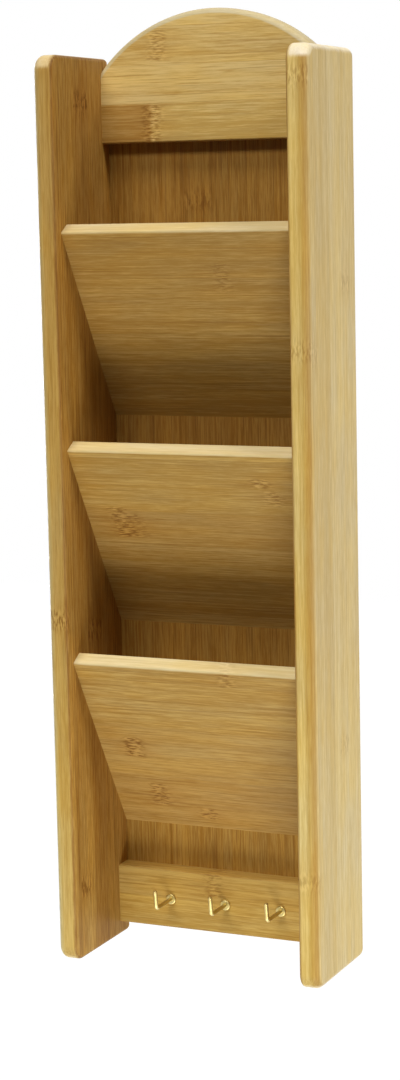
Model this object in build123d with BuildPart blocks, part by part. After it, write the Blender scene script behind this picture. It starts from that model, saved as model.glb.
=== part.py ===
from build123d import *
from math import atan2, cos, hypot, sin
import os

# A wall-hung letter rack in laminated bamboo. Two tall sides carry three slanted pocket fronts,
# an arched top rail and a key rail with brass hooks, and a thin back panel closes the rear.
# Millimetres. X runs to the right, Y towards the wall and Z up. The wall is the plane Y = 0, and
# the origin lies midway between the two hanging holes. Heights are given from the feet of the sides.

# Side panels
inside_width = 130.0
side_thickness = 11.2
side_depth = 68.0
side_height = 484.6
front_corner_radius = 8.5
back_corner_radius = 5.0
outer_edge_round = 4.0
inner_edge_round = 2.0

# Back panel, let into a rebate in each side and in the top rail
back_thickness = 3.0
back_side_rebate = 5.0
back_top_lap = 10.0
back_edge_clearance = 0.2

# Arched top rail
top_rail_thickness = 11.0
top_rail_drop = 45.3
arch_shoulder_drop = 6.5
arch_rise = 30.0
arch_front_round = 3.0
arch_back_round = 1.0
top_rail_lower_round = 1.0

# Pocket fronts, with their feet bevelled to lie flat on the back panel
pocket_thickness = 9.0
pocket_setback = 6.0
pocket_rise = 100.5
pocket_pitch = 114.3
lowest_pocket_foot = 64.0
pocket_edge_round = 1.0

# Key rail and its hooks
key_rail_thickness = 11.0
key_rail_foot = 7.5
key_rail_height = 33.0
key_rail_round = 1.2
hook_spacing = 33.0
hook_wire_radius = 1.1
hook_reach = 19.3
hook_prong_height = 10.3
hook_prong_lean = 1.4
hook_bend_radius = 2.2
hook_tip_round = 0.6
hook_shoulder_radius = 2.9
hook_shoulder_thickness = 1.2
hook_shoulder_round = 0.5
hook_thread_radius = 1.3
hook_thread_length = 7.0
hook_point_length = 1.8
hook_point_radius = 0.3
hook_pilot_clearance = 0.1

# Dowels that hold the rails and the pocket fronts between the sides
dowel_radius = 2.5
dowel_hole_clearance = 0.1
dowel_side_depth = 7.0
dowel_cross_depth = 13.0
blind_hole_gap = 0.5
dowel_chamfer = 0.5
top_rail_dowel_inset = 14.0
top_rail_dowel_spacing = 16.0
key_rail_dowel_spacing = 16.0
pocket_dowel_top_inset = 22.0
pocket_dowel_foot_inset = 38.0

# Brads that hold the back panel
brads_per_side = 5
brad_radius = 0.6
brad_length = 12.0
brad_head_radius = 1.3
brad_head_thickness = 0.5
brad_hole_clearance = 0.05
brad_end_margin = 20.0

# Keyhole hanger plates, flush in the back of the top rail
hanger_spacing = 64.0
hanger_hole_rise = 28.7
hanger_plate_width = 16.0
hanger_plate_height = 36.0
hanger_plate_thickness = 1.5
hanger_plate_lift = 4.0
hanger_plate_clearance = 0.2
hanger_entry_radius = 4.5
hanger_slot_width = 4.6
hanger_slot_travel = 8.0
hanger_pocket_clearance = 0.8
hanger_pocket_depth = 4.5
hanger_screw_spacing = 27.0
hanger_screw_radius = 1.4
hanger_screw_length = 8.0
hanger_screw_head_radius = 2.7
hanger_screw_head_depth = 1.3
hanger_screw_clearance = 0.1
hanger_screw_recess_length = 3.2
hanger_screw_recess_width = 0.8
hanger_screw_recess_depth = 0.8

# Levels and places that follow from the sizes above
top_rail_foot = side_height - top_rail_drop
arch_shoulder = side_height - arch_shoulder_drop
foot_z = -(top_rail_foot + hanger_hole_rise)
side_top_z = foot_z + side_height
top_rail_z = foot_z + top_rail_foot
shoulder_z = foot_z + arch_shoulder
crown_z = shoulder_z + arch_rise
key_rail_z = foot_z + key_rail_foot
key_rail_middle_z = key_rail_z + key_rail_height / 2
key_rail_top_z = key_rail_z + key_rail_height
key_rail_front = -(back_thickness + key_rail_thickness)
back_panel_top_z = top_rail_z + back_top_lap - back_edge_clearance
half_inside = inside_width / 2
half_back = half_inside + back_side_rebate - back_edge_clearance
dowel_hole_radius = dowel_radius + dowel_hole_clearance

# The slope of a pocket front: its front face runs from the back panel up to the set-back front line
pocket_run = side_depth - pocket_setback - back_thickness
pocket_length = hypot(pocket_run, pocket_rise)
pocket_tilt = atan2(pocket_run, pocket_rise)
pocket_up = Vector(-sin(pocket_tilt), cos(pocket_tilt))
pocket_inward = Vector(cos(pocket_tilt), sin(pocket_tilt))
pocket_feet = {
    "lower": foot_z + lowest_pocket_foot,
    "middle": foot_z + lowest_pocket_foot + pocket_pitch,
    "upper": foot_z + lowest_pocket_foot + 2 * pocket_pitch,
}


def pocket_point(pocket_foot, along, inward):
    """A point of a pocket front's section, along the slope from its foot and in from its front face."""
    start = Vector(-back_thickness, pocket_foot)
    point = start + pocket_up * along + pocket_inward * inward
    return (point.X, point.Y)


# Dowel places in the plane of the sides, as pairs of Y and Z
top_rail_dowel_y = -(back_thickness + top_rail_thickness) / 2
top_rail_dowels_at = [
    (top_rail_dowel_y, top_rail_z + top_rail_dowel_inset),
    (top_rail_dowel_y, top_rail_z + top_rail_dowel_inset + top_rail_dowel_spacing),
]
key_rail_dowel_y = -(back_thickness + key_rail_thickness / 2)
key_rail_dowels_at = [
    (key_rail_dowel_y, key_rail_middle_z - key_rail_dowel_spacing / 2),
    (key_rail_dowel_y, key_rail_middle_z + key_rail_dowel_spacing / 2),
]
pocket_dowels_at = {
    place: [
        pocket_point(pocket_foot, pocket_dowel_foot_inset, pocket_thickness / 2),
        pocket_point(pocket_foot, pocket_length - pocket_dowel_top_inset, pocket_thickness / 2),
    ]
    for place, pocket_foot in pocket_feet.items()
}
all_dowels_at = top_rail_dowels_at + key_rail_dowels_at + sum(pocket_dowels_at.values(), [])

# Brad places in the back panel's margins, evenly spread between the two rails
brad_x = half_inside + back_side_rebate / 2
brad_low_z = key_rail_top_z + brad_end_margin
brad_step = (top_rail_z - brad_end_margin - brad_low_z) / (brads_per_side - 1)
brads_at = [
    (hand * brad_x, brad_low_z + row * brad_step) for hand in (-1, 1) for row in range(brads_per_side)
]

# Hanger places in the plane of the wall, as pairs of X and Z
hangers_at = {"left": -hanger_spacing / 2, "right": hanger_spacing / 2}
hanger_screws_at = [
    (hanger_x, hanger_plate_lift + end * hanger_screw_spacing / 2)
    for hanger_x in hangers_at.values()
    for end in (-1, 1)
]
hooks_at = {"left": -hook_spacing, "middle": 0.0, "right": hook_spacing}

os.makedirs("parts", exist_ok=True)

# Each side is one board with rounded corners and edges, a rebate along the back of its inner face,
# and blind dowel holes that don't show outside
for name, hand in (("left_side_panel", -1), ("right_side_panel", 1)):
    inner_x = hand * half_inside
    with BuildPart() as side:
        with BuildSketch(Plane.YZ.offset(inner_x)) as board:
            with Locations((-side_depth / 2, foot_z + side_height / 2)):
                Rectangle(side_depth, side_height)
            fillet(board.vertices().group_by(Axis.X)[0], front_corner_radius)
            fillet(board.vertices().group_by(Axis.X)[-1], back_corner_radius)
        extrude(amount=hand * side_thickness)
        outer_face = side.faces().filter_by(Axis.X).sort_by(Axis.X, reverse=hand < 0)[-1]
        fillet(outer_face.edges(), outer_edge_round)
        inner_face = side.faces().filter_by(Axis.X).sort_by(Axis.X, reverse=hand < 0)[0]
        fillet(inner_face.edges(), inner_edge_round)
        with BuildSketch(Plane.XY.offset(foot_z)):
            with Locations((inner_x + hand * back_side_rebate / 2, -back_thickness / 2)):
                Rectangle(back_side_rebate, back_thickness)
        extrude(amount=side_height, mode=Mode.SUBTRACT)
        with BuildSketch(Plane.YZ.offset(inner_x)):
            with Locations(*all_dowels_at):
                Circle(dowel_hole_radius)
        extrude(amount=hand * dowel_side_depth, mode=Mode.SUBTRACT)
        with BuildSketch(Plane.XZ):
            with Locations(*[place for place in brads_at if place[0] * hand > 0]):
                Circle(brad_radius + brad_hole_clearance)
        extrude(amount=brad_length + blind_hole_gap, mode=Mode.SUBTRACT)
    side.part.label = name
    export_step(side.part, f"parts/{name}.step")

# The back panel is a thin sheet, flush with the backs of the sides
with BuildPart() as back_panel:
    with BuildSketch(Plane.XZ):
        with Locations((0, (key_rail_z + back_panel_top_z) / 2)):
            Rectangle(2 * half_back, back_panel_top_z - key_rail_z)
    extrude(amount=back_thickness)
    with BuildSketch(Plane.XZ):
        with Locations(*brads_at):
            Circle(brad_radius + brad_hole_clearance)
    extrude(amount=back_thickness, mode=Mode.SUBTRACT)
    with BuildSketch(Plane.XZ):
        with Locations(*brads_at):
            Circle(brad_head_radius + brad_hole_clearance)
    extrude(amount=brad_head_thickness, mode=Mode.SUBTRACT)
back_panel.part.label = "back_panel"
export_step(back_panel.part, "parts/back_panel.step")

with BuildPart() as back_panel_brads:
    with BuildSketch(Plane.XZ):
        with Locations(*brads_at):
            Circle(brad_radius)
    extrude(amount=brad_length)
    with BuildSketch(Plane.XZ):
        with Locations(*brads_at):
            Circle(brad_head_radius)
    extrude(amount=brad_head_thickness)
back_panel_brads.part.label = "back_panel_brads"
export_step(back_panel_brads.part, "parts/back_panel_brads.step")

# The top rail is a board with a segment-shaped head, rounded over along the front of its arch,
# rebated below for the back panel and recessed behind for the hanger plates
with BuildPart() as arched_top_rail:
    with BuildSketch(Plane.XZ):
        with BuildLine():
            Polyline(
                (-half_inside, shoulder_z),
                (-half_inside, top_rail_z),
                (half_inside, top_rail_z),
                (half_inside, shoulder_z),
            )
            ThreePointArc((half_inside, shoulder_z), (0, crown_z), (-half_inside, shoulder_z))
        make_face()
    extrude(amount=top_rail_thickness)
    rail_front = arched_top_rail.faces().sort_by(Axis.Y)[0]
    fillet(rail_front.edges().filter_by(GeomType.CIRCLE), arch_front_round)
    rail_front = arched_top_rail.faces().sort_by(Axis.Y)[0]
    fillet(rail_front.edges().sort_by(Axis.Z)[0], top_rail_lower_round)
    rail_back = arched_top_rail.faces().sort_by(Axis.Y)[-1]
    fillet(rail_back.edges().filter_by(GeomType.CIRCLE), arch_back_round)
    with BuildSketch(Plane.XZ):
        with Locations((0, top_rail_z + back_top_lap / 2)):
            Rectangle(inside_width, back_top_lap)
    extrude(amount=back_thickness, mode=Mode.SUBTRACT)
    for hand in (-1, 1):
        with BuildSketch(Plane.YZ.offset(hand * half_inside)):
            with Locations(*top_rail_dowels_at):
                Circle(dowel_hole_radius)
        extrude(amount=-hand * dowel_cross_depth, mode=Mode.SUBTRACT)
    with BuildSketch(Plane.XZ):
        with Locations(*[(hanger_x, hanger_plate_lift) for hanger_x in hangers_at.values()]):
            SlotOverall(
                hanger_plate_height + 2 * hanger_plate_clearance,
                hanger_plate_width + 2 * hanger_plate_clearance,
                rotation=90,
            )
    extrude(amount=hanger_plate_thickness, mode=Mode.SUBTRACT)
    with BuildSketch(Plane.XZ.offset(hanger_plate_thickness)):
        with Locations(*[(hanger_x, hanger_slot_travel / 2) for hanger_x in hangers_at.values()]):
            SlotCenterToCenter(
                hanger_slot_travel, 2 * (hanger_entry_radius + hanger_pocket_clearance), rotation=90
            )
    extrude(amount=hanger_pocket_depth, mode=Mode.SUBTRACT)
    with BuildSketch(Plane.XZ):
        with Locations(*hanger_screws_at):
            Circle(hanger_screw_radius + hanger_screw_clearance)
    extrude(amount=hanger_screw_length + blind_hole_gap, mode=Mode.SUBTRACT)
arched_top_rail.part.label = "arched_top_rail"
export_step(arched_top_rail.part, "parts/arched_top_rail.step")

# A keyhole plate takes the head of a wall screw at its round entry, and the rack then drops so
# that the screw's neck runs up the narrow slot
for place, hanger_x in hangers_at.items():
    with BuildPart() as plate:
        with BuildSketch(Plane.XZ):
            with Locations((hanger_x, hanger_plate_lift)):
                SlotOverall(hanger_plate_height, hanger_plate_width, rotation=90)
            with Locations((hanger_x, 0)):
                Circle(hanger_entry_radius, mode=Mode.SUBTRACT)
            with Locations((hanger_x, hanger_slot_travel / 2)):
                SlotCenterToCenter(
                    hanger_slot_travel, hanger_slot_width, rotation=90, mode=Mode.SUBTRACT
                )
        extrude(amount=hanger_plate_thickness)
        plate_screws_at = [spot for spot in hanger_screws_at if spot[0] == hanger_x]
        with Locations(*[Plane((x, 0, z), x_dir=(1, 0, 0), z_dir=(0, 1, 0)) for x, z in plate_screws_at]):
            Cylinder(
                hanger_screw_radius + hanger_screw_clearance,
                hanger_plate_thickness,
                align=(Align.CENTER, Align.CENTER, Align.MAX),
                mode=Mode.SUBTRACT,
            )
            Cone(
                hanger_screw_radius + hanger_screw_clearance,
                hanger_screw_head_radius + hanger_screw_clearance,
                hanger_screw_head_depth,
                align=(Align.CENTER, Align.CENTER, Align.MAX),
                mode=Mode.SUBTRACT,
            )
    plate.part.label = f"{place}_hanger_plate"
    export_step(plate.part, f"parts/{place}_hanger_plate.step")

# Countersunk screws with a cross recess hold the plates
with BuildPart() as hanger_plate_screws:
    with Locations(*[Plane((x, 0, z), x_dir=(1, 0, 0), z_dir=(0, 1, 0)) for x, z in hanger_screws_at]):
        Cylinder(
            hanger_screw_radius,
            hanger_screw_length,
            align=(Align.CENTER, Align.CENTER, Align.MAX),
        )
        Cone(
            hanger_screw_radius,
            hanger_screw_head_radius,
            hanger_screw_head_depth,
            align=(Align.CENTER, Align.CENTER, Align.MAX),
        )
    with BuildSketch(Plane.XZ):
        with Locations(*hanger_screws_at):
            Rectangle(hanger_screw_recess_length, hanger_screw_recess_width)
            Rectangle(hanger_screw_recess_width, hanger_screw_recess_length)
    extrude(amount=hanger_screw_recess_depth, mode=Mode.SUBTRACT)
hanger_plate_screws.part.label = "hanger_plate_screws"
export_step(hanger_plate_screws.part, "parts/hanger_plate_screws.step")

# The pocket fronts are three like boards that lean out from the back panel between the sides
for place, pocket_foot in pocket_feet.items():
    foot_inward = pocket_thickness / sin(pocket_tilt)
    with BuildPart() as pocket_front:
        with BuildSketch(Plane.YZ.offset(-half_inside)):
            with BuildLine():
                Polyline(
                    pocket_point(pocket_foot, 0, 0),
                    pocket_point(pocket_foot, pocket_length, 0),
                    pocket_point(pocket_foot, pocket_length, pocket_thickness),
                    (-back_thickness, pocket_foot + foot_inward),
                    close=True,
                )
            make_face()
        extrude(amount=inside_width)
        top_edges = pocket_front.edges().filter_by(Axis.X).sort_by(Axis.Z)[-2:]
        fillet(top_edges, pocket_edge_round)
        for hand in (-1, 1):
            with BuildSketch(Plane.YZ.offset(hand * half_inside)):
                with Locations(*pocket_dowels_at[place]):
                    Circle(dowel_hole_radius)
            extrude(amount=-hand * dowel_cross_depth, mode=Mode.SUBTRACT)
    pocket_front.part.label = f"{place}_pocket_front"
    export_step(pocket_front.part, f"parts/{place}_pocket_front.step")

# The key rail stands in front of the foot of the back panel, with a pilot hole for each hook
with BuildPart() as key_rail:
    with BuildSketch(Plane.XZ.offset(back_thickness)):
        with Locations((0, key_rail_middle_z)):
            Rectangle(inside_width, key_rail_height)
    extrude(amount=key_rail_thickness)
    key_rail_front_face = key_rail.faces().sort_by(Axis.Y)[0]
    fillet(key_rail_front_face.edges().filter_by(Axis.X), key_rail_round)
    for hand in (-1, 1):
        with BuildSketch(Plane.YZ.offset(hand * half_inside)):
            with Locations(*key_rail_dowels_at):
                Circle(dowel_hole_radius)
        extrude(amount=-hand * dowel_cross_depth, mode=Mode.SUBTRACT)
    with BuildSketch(Plane.XZ.offset(-key_rail_front)):
        with Locations(*[(hook_x, key_rail_middle_z) for hook_x in hooks_at.values()]):
            Circle(hook_thread_radius + hook_pilot_clearance)
    extrude(amount=-(hook_thread_length + hook_point_length + hook_pilot_clearance), mode=Mode.SUBTRACT)
key_rail.part.label = "key_rail"
export_step(key_rail.part, "parts/key_rail.step")

# Each hook is a brass wire with a screw end, a round shoulder and a square bend up into a prong
for place, hook_x in hooks_at.items():
    bend_y = key_rail_front - hook_reach
    seat = Plane((hook_x, key_rail_front, key_rail_middle_z), x_dir=(1, 0, 0), z_dir=(0, -1, 0))
    with BuildPart() as hook:
        with Locations(seat):
            Cylinder(
                hook_shoulder_radius,
                hook_shoulder_thickness,
                align=(Align.CENTER, Align.CENTER, Align.MIN),
            )
        fillet(hook.edges().sort_by(Axis.Y)[0], hook_shoulder_round)
        with BuildLine(Plane.YZ.offset(hook_x)) as wire:
            FilletPolyline(
                (key_rail_front, key_rail_middle_z),
                (bend_y, key_rail_middle_z),
                (bend_y - hook_prong_lean, key_rail_middle_z + hook_prong_height),
                radius=hook_bend_radius,
            )
        with BuildSketch(seat):
            Circle(hook_wire_radius)
        sweep(path=wire.line)
        fillet(hook.edges().filter_by(GeomType.CIRCLE).sort_by(Axis.Z)[-1], hook_tip_round)
        with Locations(seat):
            Cylinder(
                hook_thread_radius,
                hook_thread_length,
                align=(Align.CENTER, Align.CENTER, Align.MAX),
            )
        with Locations(seat.offset(-hook_thread_length)):
            Cone(
                hook_point_radius,
                hook_thread_radius,
                hook_point_length,
                align=(Align.CENTER, Align.CENTER, Align.MAX),
            )
    hook.part.label = f"key_hook_{place}"
    export_step(hook.part, f"parts/key_hook_{place}.step")


def dowels(name, places):
    """Wooden dowels across both joints between a cross piece and the sides, as one group."""
    with BuildPart() as group:
        for hand in (-1, 1):
            outer_x = hand * (half_inside + dowel_side_depth - blind_hole_gap)
            with BuildSketch(Plane.YZ.offset(outer_x)):
                with Locations(*places):
                    Circle(dowel_radius)
            extrude(amount=-hand * (dowel_side_depth + dowel_cross_depth - 2 * blind_hole_gap))
        chamfer(group.edges().filter_by(GeomType.CIRCLE), dowel_chamfer)
    group.part.label = name
    export_step(group.part, f"parts/{name}.step")


dowels("top_rail_dowels", top_rail_dowels_at)
dowels("key_rail_dowels", key_rail_dowels_at)
for place, places in pocket_dowels_at.items():
    dowels(f"{place}_pocket_dowels", places)
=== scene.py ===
import math
from collections import namedtuple

import bpy
from mathutils import Matrix, Vector


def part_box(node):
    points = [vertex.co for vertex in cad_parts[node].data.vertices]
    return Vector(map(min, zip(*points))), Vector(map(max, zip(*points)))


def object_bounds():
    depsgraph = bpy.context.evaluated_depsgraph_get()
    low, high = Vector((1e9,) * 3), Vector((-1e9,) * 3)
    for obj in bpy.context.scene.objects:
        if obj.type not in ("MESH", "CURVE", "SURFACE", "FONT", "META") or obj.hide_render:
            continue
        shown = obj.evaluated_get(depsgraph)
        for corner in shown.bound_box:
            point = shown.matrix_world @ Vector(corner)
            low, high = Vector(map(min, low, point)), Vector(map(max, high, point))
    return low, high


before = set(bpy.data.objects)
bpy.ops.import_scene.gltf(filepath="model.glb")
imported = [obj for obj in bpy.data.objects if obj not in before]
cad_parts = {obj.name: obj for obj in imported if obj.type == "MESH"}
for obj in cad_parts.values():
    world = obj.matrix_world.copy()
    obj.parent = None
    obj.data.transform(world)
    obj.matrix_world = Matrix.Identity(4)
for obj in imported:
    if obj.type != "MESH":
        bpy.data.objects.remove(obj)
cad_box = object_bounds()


# Side panels: two tall boards of laminated bamboo, glued up from upright strips, with paler plies outside
# that also carry a painted sheen.
# Their corners and edges are rounded over, and they are sanded and finished with a clear satin lacquer.
class Wire:
    """A value in a node tree. Sums on it add Math nodes, and node() adds any other kind of node."""

    # The numbers of a Mix node's sockets: its factor, its two colours, and the mixed colour.
    mix_factor = 0
    mix_first = 6
    mix_second = 7
    mix_colour = 2

    def __init__(self, tree, socket=None):
        self.tree = tree
        self.socket = socket

    def node(self, kind, settings=None, sockets=None, out=0):
        """Adds a node, sets its settings and then its sockets, and returns one of its outputs."""
        made = self.tree.nodes.new(kind)
        for key, value in (settings or {}).items():
            if key == "stops":
                elements = made.color_ramp.elements
                while len(elements) < len(value):
                    elements.new(1.0)
                for element, (position, colour) in zip(elements, value):
                    element.position = position
                    element.color = colour
            else:
                setattr(made, key, value)
        for key, value in (sockets or {}).items():
            if isinstance(value, Wire):
                self.tree.links.new(value.socket, made.inputs[key])
            else:
                made.inputs[key].default_value = value
        return Wire(self.tree, made.outputs[out] if made.outputs else None)

    def math(self, operation, *values):
        return self.node("ShaderNodeMath", {"operation": operation}, dict(enumerate(values)))

    def __add__(self, other):
        return self.math("ADD", self, other)

    __radd__ = __add__

    def __sub__(self, other):
        return self.math("SUBTRACT", self, other)

    def __rsub__(self, other):
        return self.math("SUBTRACT", other, self)

    def __mul__(self, other):
        return self.math("MULTIPLY", self, other)

    __rmul__ = __mul__

    def __truediv__(self, other):
        return self.math("DIVIDE", self, other)

    def __rtruediv__(self, other):
        return self.math("DIVIDE", other, self)

    def floor(self):
        return self.math("FLOOR", self)

    def size(self):
        return self.math("ABSOLUTE", self)

    def root(self):
        return self.math("SQRT", self)

    def rise(self, low, high):
        """0 at low and 1 at high, smooth between them and level beyond; low may be the larger."""
        return self.node(
            "ShaderNodeMapRange",
            {"interpolation_type": "SMOOTHSTEP"},
            {"Value": self, "From Min": low, "From Max": high},
        )

    def mix(self, first, second, clamped=True):
        """The first colour where this is 0 and the second where it is 1."""
        return self.node(
            "ShaderNodeMix",
            {"data_type": "RGBA", "clamp_factor": clamped},
            {self.mix_factor: self, self.mix_first: first, self.mix_second: second},
            out=self.mix_colour,
        )

    def tinted(self, colour):
        """This colour multiplied by another."""
        return self.node(
            "ShaderNodeMix",
            {"data_type": "RGBA", "blend_type": "MULTIPLY"},
            {self.mix_factor: 1.0, self.mix_first: self, self.mix_second: colour},
            out=self.mix_colour,
        )

    def noise(self, x, y, z, seed, detail=2.0, roughness=0.5):
        spot = self.node("ShaderNodeCombineXYZ", {}, {0: x, 1: y, 2: z})
        return self.node(
            "ShaderNodeTexNoise",
            {"noise_dimensions": "4D"},
            {"Vector": spot, "W": seed, "Scale": 1.0, "Detail": detail, "Roughness": roughness},
        )


def blank_material(name):
    """A material with nothing in its node tree, and a wire to start from."""
    material = bpy.data.materials.new(name)
    material.use_nodes = True
    material.node_tree.nodes.clear()
    return material, Wire(material.node_tree)


def linear(red, green, blue):
    """A colour as seen on a screen, from 0 to 255, as the shader's linear numbers."""
    def channel(level):
        level = level / 255
        return level / 12.92 if level <= 0.04045 else ((level + 0.055) / 1.055) ** 2.4

    return (channel(red), channel(green), channel(blue), 1.0)


# A joint of the cane: its place along and across the grain, half its width, and its strength.
Joint = namedtuple("Joint", "along across half strength")
# A strip that is darker, or paler if less than 0: all along, or before a place with a blurred end.
# A few tones are a strip's own tone; most are painted light and shade.
Tone = namedtuple("Tone", "across half darker before blur", defaults=(None, 70.0))

millimetres = 1000.0
plain = (1.0, 1.0, 1.0, 1.0)
upright = (0, 0, 1)
sideways = (1, 0, 0)
inward = (0, 1, 0)


def bamboo(name, axes, strip, seam_at, plies, seed, grained, joints=(), tones=(), rim=None, bold=0.0):
    """Lacquered laminated bamboo, measured in millimetres. The axes run along the grain, across it and
    through the board. Strips of one width lie side by side, with a seam at the place given. Plies are
    pairs of a depth through the board and the colour there. Grained is the strength of the grain, and
    bold adds to it in the first ply. Joints are the board's own; tones are partly the board's own and
    mostly painted light and shade. The rim is a pair, of a function that finds the sawn edges, and
    their colour, which is partly end grain and partly a painted highlight."""
    pale_fibre = (1.15, 1.19, 1.30, 1.0)
    dark_fibre = (0.81, 0.71, 0.51, 1.0)
    pale_fleck = (1.24, 1.26, 1.34, 1.0)
    dark_fleck = (0.50, 0.36, 0.21, 1.0)
    cool = (0.965, 1.0, 1.14, 1.0)
    warm = (1.035, 1.0, 0.86, 1.0)
    joint_stain = (0.84, 0.71, 0.52, 1.0)
    strip_tone_and_shade = (0.78, 0.68, 0.55, 1.0)
    end_grain_and_sheen = (0.96, 0.93, 0.88, 1.0)

    material, start = blank_material(name)
    spot = start.node("ShaderNodeTexCoord", out="Object")

    def run(axis):
        """How far a point lies along an axis."""
        scaled = [millimetres * part for part in axis]
        return start.node(
            "ShaderNodeVectorMath", {"operation": "DOT_PRODUCT"}, {0: spot, 1: scaled}, out="Value"
        )

    grain, width, depth = (run(axis) for axis in axes)
    first, last = plies[0][0], plies[-1][0]
    body = plies[0][1]
    if len(plies) > 1:
        level = start.node(
            "ShaderNodeMapRange", {}, {"Value": depth, "From Min": first, "From Max": last}
        )
        stops = [((at - first) / (last - first), colour) for at, colour in plies]
        body = start.node("ShaderNodeValToRGB", {"stops": stops}, {"Fac": level})

    # The strips sway a little, and each has its own fibres.
    sway_length = 165.0
    sway_width = 33.0
    sway_across = 2.4
    sway_along = 6.0
    sway = start.noise(grain / sway_length, width / sway_width, depth / sway_width, seed) - 0.5
    line = width + sway * sway_across
    place = grain + sway * sway_along

    def streaks(length, thickness, variant, detail=2.0, roughness=0.5):
        """Noise that is drawn out along the grain."""
        return start.noise(
            grain / length, line / thickness, depth / thickness, variant, detail, roughness
        )

    seam_half = 0.3
    lane = (line - seam_at) / strip
    number = lane.floor()
    seam = (lane - number - 0.5).size().rise(0.5 - seam_half / strip, 0.5)
    chance = start.node(
        "ShaderNodeTexWhiteNoise",
        {"noise_dimensions": "2D"},
        {"Vector": start.node("ShaderNodeCombineXYZ", {}, {0: number, 1: seed})},
    )
    fibres = streaks(110.0, 1.25, number + seed, detail=5.0, roughness=0.7)
    bands = streaks(165.0, 6.25, number * 1.7 + seed)
    threads = streaks(55.0, 0.9, number * 2.3 + seed, detail=3.0).rise(0.56, 0.66)
    specks = streaks(12.5, 0.625, seed, detail=3.0, roughness=0.7)
    warmth = streaks(50.0, 10.0, number + seed + 7.0, detail=3.0)

    # Wide strips differ more from each other than narrow ones.
    strip_contrast = min(0.6, strip * 0.03)
    fine_contrast = 2.2
    broad = min(1.0, grained) ** 2
    fine = grained
    if bold:
        ply_depth = 3.0
        fine = grained + depth.rise(first + ply_depth, first) * bold
    shade = (
        0.5
        + (fibres - 0.5) * fine_contrast * fine
        + (specks - 0.5) * fine_contrast * fine
        + (bands - 0.5) * broad
        + (chance - 0.5) * broad * strip_contrast
    )
    stain = shade.rise(-0.1, 1.1).mix(pale_fibre, dark_fibre)
    mask = threads * 0.3 * fine + seam * 0.25
    height = fibres * 0.5 - seam * 0.4
    hue = warmth.rise(0.25, 0.75).mix(cool, warm)

    def within(band, border):
        """1 inside the width of a joint or a tone, with a soft border."""
        return (width - band.across).size().rise(band.half + border, band.half - border)

    # Each joint has dark and pale flecks, in a warm stain that creeps along the fibres.
    if joints:
        fleck_reach = 9.0
        stain_reach = 20.0
        stain_creep = 50.0
        knot = 0.0
        creep = 0.0
        for joint in joints:
            away = place - joint.along
            crept = away + (fibres - 0.5) * stain_creep
            knot = knot + within(joint, 1.0) * joint.strength * away.size().rise(fleck_reach, 1.0)
            creep = creep + within(joint, 3.0) * joint.strength * crept.size().rise(stain_reach, 2.0)
        flecks = streaks(4.2, 0.85, seed)
        dark_flecks = flecks.rise(0.5, 0.6) * knot
        stain = (flecks.rise(0.48, 0.38) * knot * 0.9).mix(stain, pale_fleck)
        mask = mask + dark_flecks * 0.75
        height = height - dark_flecks * 0.5
        hue = hue.tinted((creep * 0.3).mix(plain, joint_stain))
    stain = mask.mix(stain, dark_fleck)

    # Tones make whole strips darker or paler: a few are the board's own tone, most are painted light and
    # shade.
    if tones:
        step = 0.0
        for tone in tones:
            share = within(tone, 1.0) * tone.darker
            if tone.before is not None:
                share = share * (place - tone.before).rise(tone.blur, -tone.blur)
            step = step + share
        hue = hue.tinted(step.mix(plain, strip_tone_and_shade, clamped=False))

    # The rim is paler partly as end grain and partly as a painted highlight along the edges.
    if rim:
        edges, rim_colour_and_highlight = rim
        sawn = edges(run(sideways), run(inward), run(upright))
        body = sawn.mix(body, rim_colour_and_highlight)
        stain = (sawn * 0.6).mix(stain, end_grain_and_sheen)

    normal = start.node("ShaderNodeBump", {}, {"Strength": 0.08, "Distance": 0.0004, "Height": height})
    surface = start.node(
        "ShaderNodeBsdfPrincipled",
        {},
        {
            "Base Color": stain.tinted(hue).tinted(body),
            "Roughness": 0.52 + (fibres - 0.5) * 0.16,
            "Specular IOR Level": 0.2,
            "Normal": normal,
        },
    )
    start.node("ShaderNodeOutputMaterial", {}, {"Surface": surface})
    return material


def box_of(node):
    """The lowest and highest corner of a piece, in millimetres."""
    low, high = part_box(node)
    return low * millimetres, high * millimetres


def dress(node, material):
    """Gives a piece of the frame its material."""
    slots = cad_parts[node].data.materials
    slots.clear()
    slots.append(material)


side_low, side_high = box_of("right_side_panel")
inner_face = side_low.x
outer_face = side_high.x


def sawn_ends(x, y, z):
    """The top, foot and rounded top corner of a side, where the grain ends, but not its inner edge."""
    corner_drop = 4.0
    corner = y.rise(side_low.y + 11.0, side_low.y + 5.0) * corner_drop
    top = (z + corner).rise(side_high.z - 3.8, side_high.z - 1.0)
    foot = z.rise(side_low.z + 3.5, side_low.z + 0.8)
    return (top + foot) * x.size().rise(inner_face + 0.5, inner_face + 3.0)


# The inner ply is a little darker and more orange, partly painted shade for the inside of the rack; the
# outer ply is paler, partly a painted sheen.
inner_ply_and_shade = linear(174, 131, 60)
outer_ply_and_sheen = linear(211, 188, 132)
# Left plies, from the inner face out: the dark ply at the inner roundover is painted shade; the others are
# the front edge's own plies.
left_plies_and_light = [
    (inner_face, inner_ply_and_shade),
    (inner_face + 0.5, linear(138, 100, 46)),
    (inner_face + 1.8, linear(176, 141, 72)),
    (inner_face + 7.0, linear(184, 150, 80)),
    (inner_face + 9.0, linear(200, 172, 106)),
    (inner_face + 10.4, linear(214, 194, 142)),
    (outer_face, outer_ply_and_sheen),
]
left_joints = [
    Joint(-7, -36, 8, 1.9),
    Joint(-290, -35.5, 8, 1.5),
    Joint(-428, -54, 6, 1.6),
    Joint(-279, -68, 3, 1.2),
]
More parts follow.
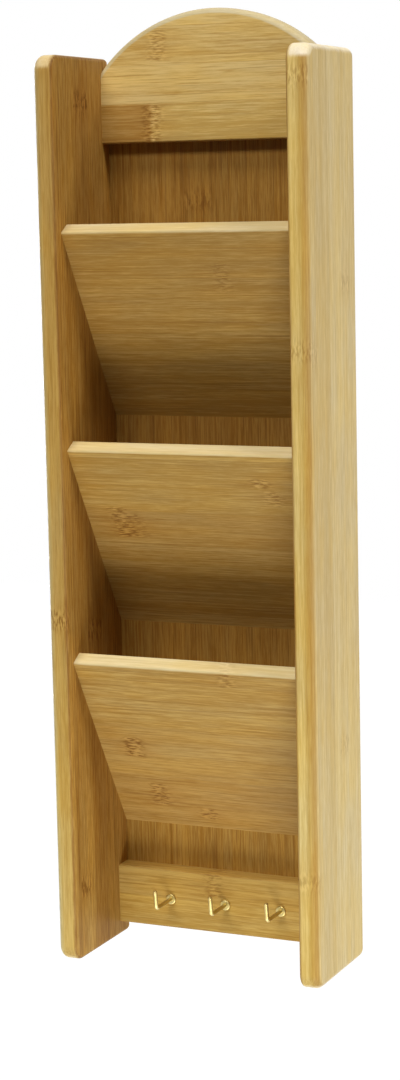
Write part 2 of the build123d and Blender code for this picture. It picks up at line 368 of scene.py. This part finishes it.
# The strip behind the top joint is its own darker tone; the other tones are painted light and shade,
# darker high on the front edge and paler towards the foot.
left_tones_and_light = [
    Tone(-21.5, 22, -0.4, before=-360),
    Tone(-35.5, 8, 0.6, before=0),
    Tone(-51.5, 8, -0.1),
    Tone(-51.5, 8, 0.3, before=-150),
    Tone(-51.5, 8, -1.4, before=-360),
    Tone(-68, 4, 0.4),
    Tone(-68, 4, -0.4, before=-150),
    Tone(-68, 4, -1.1, before=-330),
]
left_side = bamboo(
    "bamboo_left_side",
    axes=(upright, inward, (-1, 0, 0)),
    strip=16.0,
    seam_at=-43.5,
    plies=left_plies_and_light,
    seed=3.0,
    grained=0.9,
    joints=left_joints,
    tones=left_tones_and_light,
    # The pale rim colour is partly end grain and partly a painted highlight on the top edge.
    rim=(sawn_ends, linear(222, 200, 150)),
    bold=1.3,
)
dress("left_side_panel", left_side)

# Right plies, from the inner face out: the two darkest plies near the outer face, over its roundover, are
# painted shade; the others are the front edge's own plies.
right_plies_and_light = [
    (inner_face, inner_ply_and_shade),
    (inner_face + 0.7, linear(182, 146, 82)),
    (inner_face + 2.0, linear(216, 190, 119)),
    (inner_face + 5.5, linear(212, 185, 113)),
    (inner_face + 7.5, linear(194, 162, 87)),
    (inner_face + 9.4, linear(173, 139, 73)),
    (inner_face + 10.6, linear(179, 148, 85)),
    (inner_face + 11.1, outer_ply_and_sheen),
    (outer_face, outer_ply_and_sheen),
]
right_joints = [
    Joint(0.5, -68, 3, 0.7),
    Joint(-134.6, -68, 4, 0.6),
    Joint(-410, -68, 5, 0.55),
    Joint(-137.6, -61, 4, 0.5),
    Joint(-104, -17.7, 6, 0.5),
    Joint(-345, -26, 6, 0.5),
]
# Painted light: the front edge and outer face are paler towards the foot.
right_painted_light = [
    Tone(-68, 4, -0.3, before=-330),
    Tone(-30, 33, -0.3, before=-330),
]
right_side = bamboo(
    "bamboo_right_side",
    axes=(upright, inward, sideways),
    strip=19.0,
    seam_at=-40.0,
    plies=right_plies_and_light,
    seed=8.0,
    grained=0.72,
    joints=right_joints,
    tones=right_painted_light,
    # The pale rim colour is partly end grain and partly a painted highlight on the top edge.
    rim=(sawn_ends, linear(238, 226, 196)),
)
dress("right_side_panel", right_side)

# Back panel: a thin sheet of narrow upright bamboo strips, darker than the boards.
# It lies in rebates in the sides and the arched rail, passes behind the key rail, and is held by brads.
back_joints = [Joint(-59.5, -13, 8, 0.8)]
# Painted light and shade: the back is darker from the middle down, recessed behind the pockets, and paler
# again at the foot.
back_painted_light = [Tone(0, 70, 0.35, before=-140), Tone(0, 70, -1.2, before=-330)]
back = bamboo(
    "bamboo_back",
    axes=(upright, sideways, inward),
    strip=5.2,
    seam_at=0.0,
    plies=[(0.0, linear(158, 116, 48))],
    seed=14.0,
    grained=1.7,
    joints=back_joints,
    tones=back_painted_light,
)
dress("back_panel", back)

# Arched top rail: a bamboo board of level strips, doweled between the sides above the back panel.
# Its head is sawn to an arc and rounded over in front, which leaves a pale edge, partly the sawn edge and
# partly a painted highlight.
rail_low, rail_high = box_of("arched_top_rail")
arch_radius = 85.4
arch_centre_z = rail_high.z - arch_radius


def arch_edge(x, y, z):
    """The sawn edge of the arch, which comes further down the rounded front."""
    round_over = 0.2
    height = z - arch_centre_z
    reach = (x * x + height * height).root() - (y - rail_low.y) * round_over
    return reach.rise(arch_radius - 3.2, arch_radius - 2.4)


rail_joints = [Joint(-36, -18.5, 10, 1.1), Joint(-32, 22, 8, 0.8)]
rail_tones = [Tone(-18.5, 10, -0.5), Tone(-18.5, 10, 1.6, before=-36, blur=2.0)]
top_rail = bamboo(
    "bamboo_top_rail",
    axes=(sideways, upright, inward),
    strip=20.0,
    seam_at=-8.4,
    plies=[(0.0, linear(204, 172, 103))],
    seed=21.0,
    grained=1.0,
    joints=rail_joints,
    tones=rail_tones,
    # The rim colour is partly the sawn edge and partly a painted highlight.
    rim=(arch_edge, linear(201, 185, 143)),
)
dress("arched_top_rail", top_rail)

# Pocket fronts: three like boards of level bamboo strips, which lean out from the back panel.
# They are cut square along the top, bevelled at the foot, and doweled between the sides.
pocket_rise = 100.5
pocket_low, pocket_high = box_of("lower_pocket_front")
tilt = math.atan2(pocket_high.y - pocket_low.y, pocket_rise)
slope = (0, -math.sin(tilt), math.cos(tilt))
outward = (0, -math.cos(tilt), -math.sin(tilt))
pocket_seams = {"upper": -62.0, "middle": -206.0, "lower": -276.0}
pocket_joints = {
    "upper": [Joint(20, -62, 9, 0.6)],
    "middle": [
        Joint(-45, -179, 10, 1.1),
        Joint(-36, -181, 8, 0.7),
        Joint(42.5, -150.4, 3, 1.0),
        Joint(47.6, -160, 5, 0.8),
    ],
    "lower": [
        Joint(22.7, -235, 6, 0.8),
        Joint(-45, -290, 7, 1.6),
        Joint(-38.4, -325, 8, 1.2),
        Joint(-11, -337, 4, 1.1),
    ],
}
# Painted light and shade: the pocket fronts are paler near the top and darker lower down, where they lie
# in shade.
pocket_painted_light = {
    "upper": [],
    "middle": [Tone(-227, 20, 0.25), Tone(-188.5, 17, 0.25), Tone(-152, 19, -0.5)],
    "lower": [Tone(-252, 22, -0.45), Tone(-329, 18, 0.3)],
}
for seed, place in enumerate(("upper", "middle", "lower"), start=31):
    pocket_low = box_of(f"{place}_pocket_front")[0]
    top_edge = pocket_low.y * slope[1] + (pocket_low.z + pocket_rise) * slope[2]

    def pocket_edge(x, y, z):
        """The sawn edge along the top of a pocket front."""
        return (y * slope[1] + z * slope[2]).rise(top_edge - 1.0, top_edge - 0.3)

    pocket = bamboo(
        f"bamboo_{place}_pocket",
        axes=(sideways, slope, outward),
        strip=35.0,
        seam_at=pocket_seams[place],
        plies=[(0.0, linear(185, 148, 77))],
        seed=seed,
        grained=1.2,
        joints=pocket_joints[place],
        tones=pocket_painted_light[place],
        # The pale top edge is partly the sawn edge and partly a painted highlight.
        rim=(pocket_edge, linear(210, 189, 138)),
    )
    dress(f"{place}_pocket_front", pocket)

# Key rail: a level bamboo board across the foot, in front of the end of the back panel.
# It is doweled between the sides, and bored for the three hooks.
key_rail_joints = [Joint(-8, -433.5, 7, 0.8)]
# Painted light: the lower strip of the key rail is paler, towards the foot.
key_rail_painted_light = [Tone(-452, 8, -0.4)]
key_rail = bamboo(
    "bamboo_key_rail",
    axes=(sideways, upright, inward),
    strip=18.0,
    seam_at=-444.0,
    plies=[(0.0, linear(180, 145, 72))],
    seed=41.0,
    grained=1.1,
    joints=key_rail_joints,
    tones=key_rail_painted_light,
)
dress("key_rail", key_rail)

# Dowels: plain beech pegs, glued into blind holes in the sides and in the ends of the cross pieces.
# None of them shows, and their fine straight grain is the boards' grain at about half strength.
dowels = bamboo(
    "beech_dowels",
    axes=(sideways, inward, upright),
    strip=7.0,
    seam_at=0.0,
    plies=[(0.0, linear(204, 168, 122))],
    seed=51.0,
    grained=0.6,
)
for piece in ("top_rail", "upper_pocket", "middle_pocket", "lower_pocket", "key_rail"):
    dress(f"{piece}_dowels", dowels)


# Key hooks: three screw hooks of brass wire, each with a round shoulder and one square bend.
# They are screwed into the key rail, polished and a little tarnished.
def metal(name, colour, tarnish, roughness, seed):
    """Metal with a faint fine grain and a little tarnish."""
    material, start = blank_material(name)
    spot = start.node("ShaderNodeTexCoord", out="Object")

    def cloud(scale, variant, detail):
        return start.node(
            "ShaderNodeTexNoise",
            {"noise_dimensions": "4D"},
            {"Vector": spot, "W": variant, "Scale": scale, "Detail": detail, "Roughness": 0.6},
        )

    dull = cloud(260.0, seed, 3.0)
    fine = cloud(1400.0, seed + 5, 2.0)
    surface = start.node(
        "ShaderNodeBsdfPrincipled",
        {},
        {
            "Base Color": dull.rise(0.35, 0.75).mix(colour, tarnish),
            "Metallic": 1.0,
            "Roughness": roughness + (fine - 0.5) * 0.12 + dull.rise(0.45, 0.8) * 0.08,
        },
    )
    start.node("ShaderNodeOutputMaterial", {}, {"Surface": surface})
    return material


brass = metal(
    "brass", colour=linear(208, 190, 128), tarnish=linear(190, 168, 100), roughness=0.42, seed=61.0
)
for place in ("left", "middle", "right"):
    dress(f"key_hook_{place}", brass)

# Hanger plates, their screws and the brads: stamped and turned steel, bright zinc-plated.
# The keyhole plates are let into the back of the arched rail, and the brads pin the back panel.
zinc = metal(
    "zinc_plate", colour=linear(196, 197, 194), tarnish=linear(170, 172, 172), roughness=0.34, seed=71.0
)
for node in ("left_hanger_plate", "right_hanger_plate", "hanger_plate_screws", "back_panel_brads"):
    dress(node, zinc)


# Floor: a wide pale sheet, far below the rack because the rack hangs on a wall.
# It glows white to the eye and in reflections, but dimmer under the rack as a painted soft shadow, and it
# keeps the rack's real shadow.
def rays(start, *kinds):
    """1 for a ray of any of these kinds."""
    return sum(start.node("ShaderNodeLightPath", out=kind) for kind in kinds)


floor_drop = 2.0
floor_half = 12.0
floor_mesh = bpy.data.meshes.new("floor")
floor_corners = [
    (-floor_half, -floor_half, 0),
    (floor_half, -floor_half, 0),
    (floor_half, floor_half, 0),
    (-floor_half, floor_half, 0),
]
floor_mesh.from_pydata(floor_corners, [], [(0, 1, 2, 3)])
floor = bpy.data.objects.new("floor", floor_mesh)
floor.location.z = cad_box[0].z - floor_drop
bpy.context.scene.collection.objects.link(floor)
paper, start = blank_material("floor_paper")
spot = start.node("ShaderNodeTexCoord", out="Object")
reach = start.node("ShaderNodeVectorMath", {"operation": "LENGTH"}, {0: spot}, out="Value")
shown = rays(start, "Is Camera Ray", "Is Glossy Ray", "Is Transmission Ray")
matt = start.node("ShaderNodeBsdfDiffuse", {}, {"Color": (0.2, 0.2, 0.2, 1.0)})
# A painted shadow: the glow is dimmer under the rack.
painted_shade_under_rack = (0.8, 0.8, 0.8, 1.0)
glow_colour = reach.rise(0.3, 0.9).mix(painted_shade_under_rack, plain)
glow = start.node("ShaderNodeEmission", {}, {"Color": glow_colour, "Strength": shown})
sheet = start.node("ShaderNodeAddShader", {}, {0: matt, 1: glow})
start.node("ShaderNodeOutputMaterial", {}, {"Surface": sheet})
floor_mesh.materials.append(paper)

# Light: two wide lamps high in front, a pair at the right, two low ones, and one behind at the left.
# The room is dim, but looks white to the eye, and metal reflects it brighter behind the rack.
room = 0.03
world = bpy.data.worlds.new("room")
bpy.context.scene.world = world
world.use_nodes = True
world.node_tree.nodes.clear()
start = Wire(world.node_tree)
way = start.node("ShaderNodeTexCoord", out="Generated")
behind = start.node("ShaderNodeVectorMath", {"operation": "DOT_PRODUCT"}, {0: way, 1: inward}, out="Value")
seen = rays(start, "Is Camera Ray") * (1.0 - room)
mirrored = rays(start, "Is Glossy Ray", "Is Transmission Ray") * (0.3 + behind.rise(-0.3, 0.3) * 0.6)
sky = start.node("ShaderNodeBackground", {}, {"Color": plain, "Strength": room + seen + mirrored})
start.node("ShaderNodeOutputWorld", {}, {"Surface": sky})
rack_middle = (0.0, -0.03, -0.25)


def lamp(name, place, size, power, aim=rack_middle):
    """A flat lamp that the camera doesn't see, turned towards its aim."""
    light = bpy.data.lights.new(name, "AREA")
    light.shape = "RECTANGLE"
    light.size, light.size_y = size
    light.energy = power
    holder = bpy.data.objects.new(name, light)
    bpy.context.scene.collection.objects.link(holder)
    holder.location = place
    holder.rotation_euler = (Vector(aim) - Vector(place)).to_track_quat("-Z", "Y").to_euler()
    holder.visible_camera = False


lamp("top_lamp", place=(-0.218, -3.148, 7.114), size=(4.5, 1.6), power=312.0)
lamp("front_lamp", place=(-0.631, -6.035, 4.998), size=(4.5, 1.6), power=314.0)
lamp("right_lamp", place=(1.3, -0.03, -0.42), size=(0.3, 0.4), power=6.3, aim=(0.0, -0.03, -0.42))
lamp("right_top_lamp", place=(2.732, -0.762, 2.578), size=(0.6, 0.6), power=61.0)
lamp("low_lamp", place=(0.722, -1.281, -2.217), size=(1.2, 1.2), power=35.0)
lamp("near_low_lamp", place=(0.0, -0.22, -0.70), size=(0.7, 0.4), power=0.55, aim=(0.0, -0.22, 0.0))
lamp("back_lamp", place=(-1.9, 2.3, -0.25), size=(1.2, 1.2), power=105.0)

# Camera: a long lens, to the right of the rack and a little above its middle.
# It looks down slightly, and leans a little to one side.
eye = bpy.data.cameras.new("camera")
eye.lens = 79.86
eye.sensor_width = 36.0
camera = bpy.data.objects.new("camera", eye)
bpy.context.scene.collection.objects.link(camera)
camera_place = (0.52128, -1.18004, -0.05731)
camera_bearing = 24.529
camera_dip = 8.173
camera_lean = -1.218
camera.matrix_world = (
    Matrix.Translation(camera_place)
    @ Matrix.Rotation(math.radians(camera_bearing), 4, "Z")
    @ Matrix.Rotation(math.radians(90.0 - camera_dip), 4, "X")
    @ Matrix.Rotation(math.radians(camera_lean), 4, "Z")
)
bpy.context.scene.camera = camera
bpy.context.scene.view_settings.view_transform = "Standard"
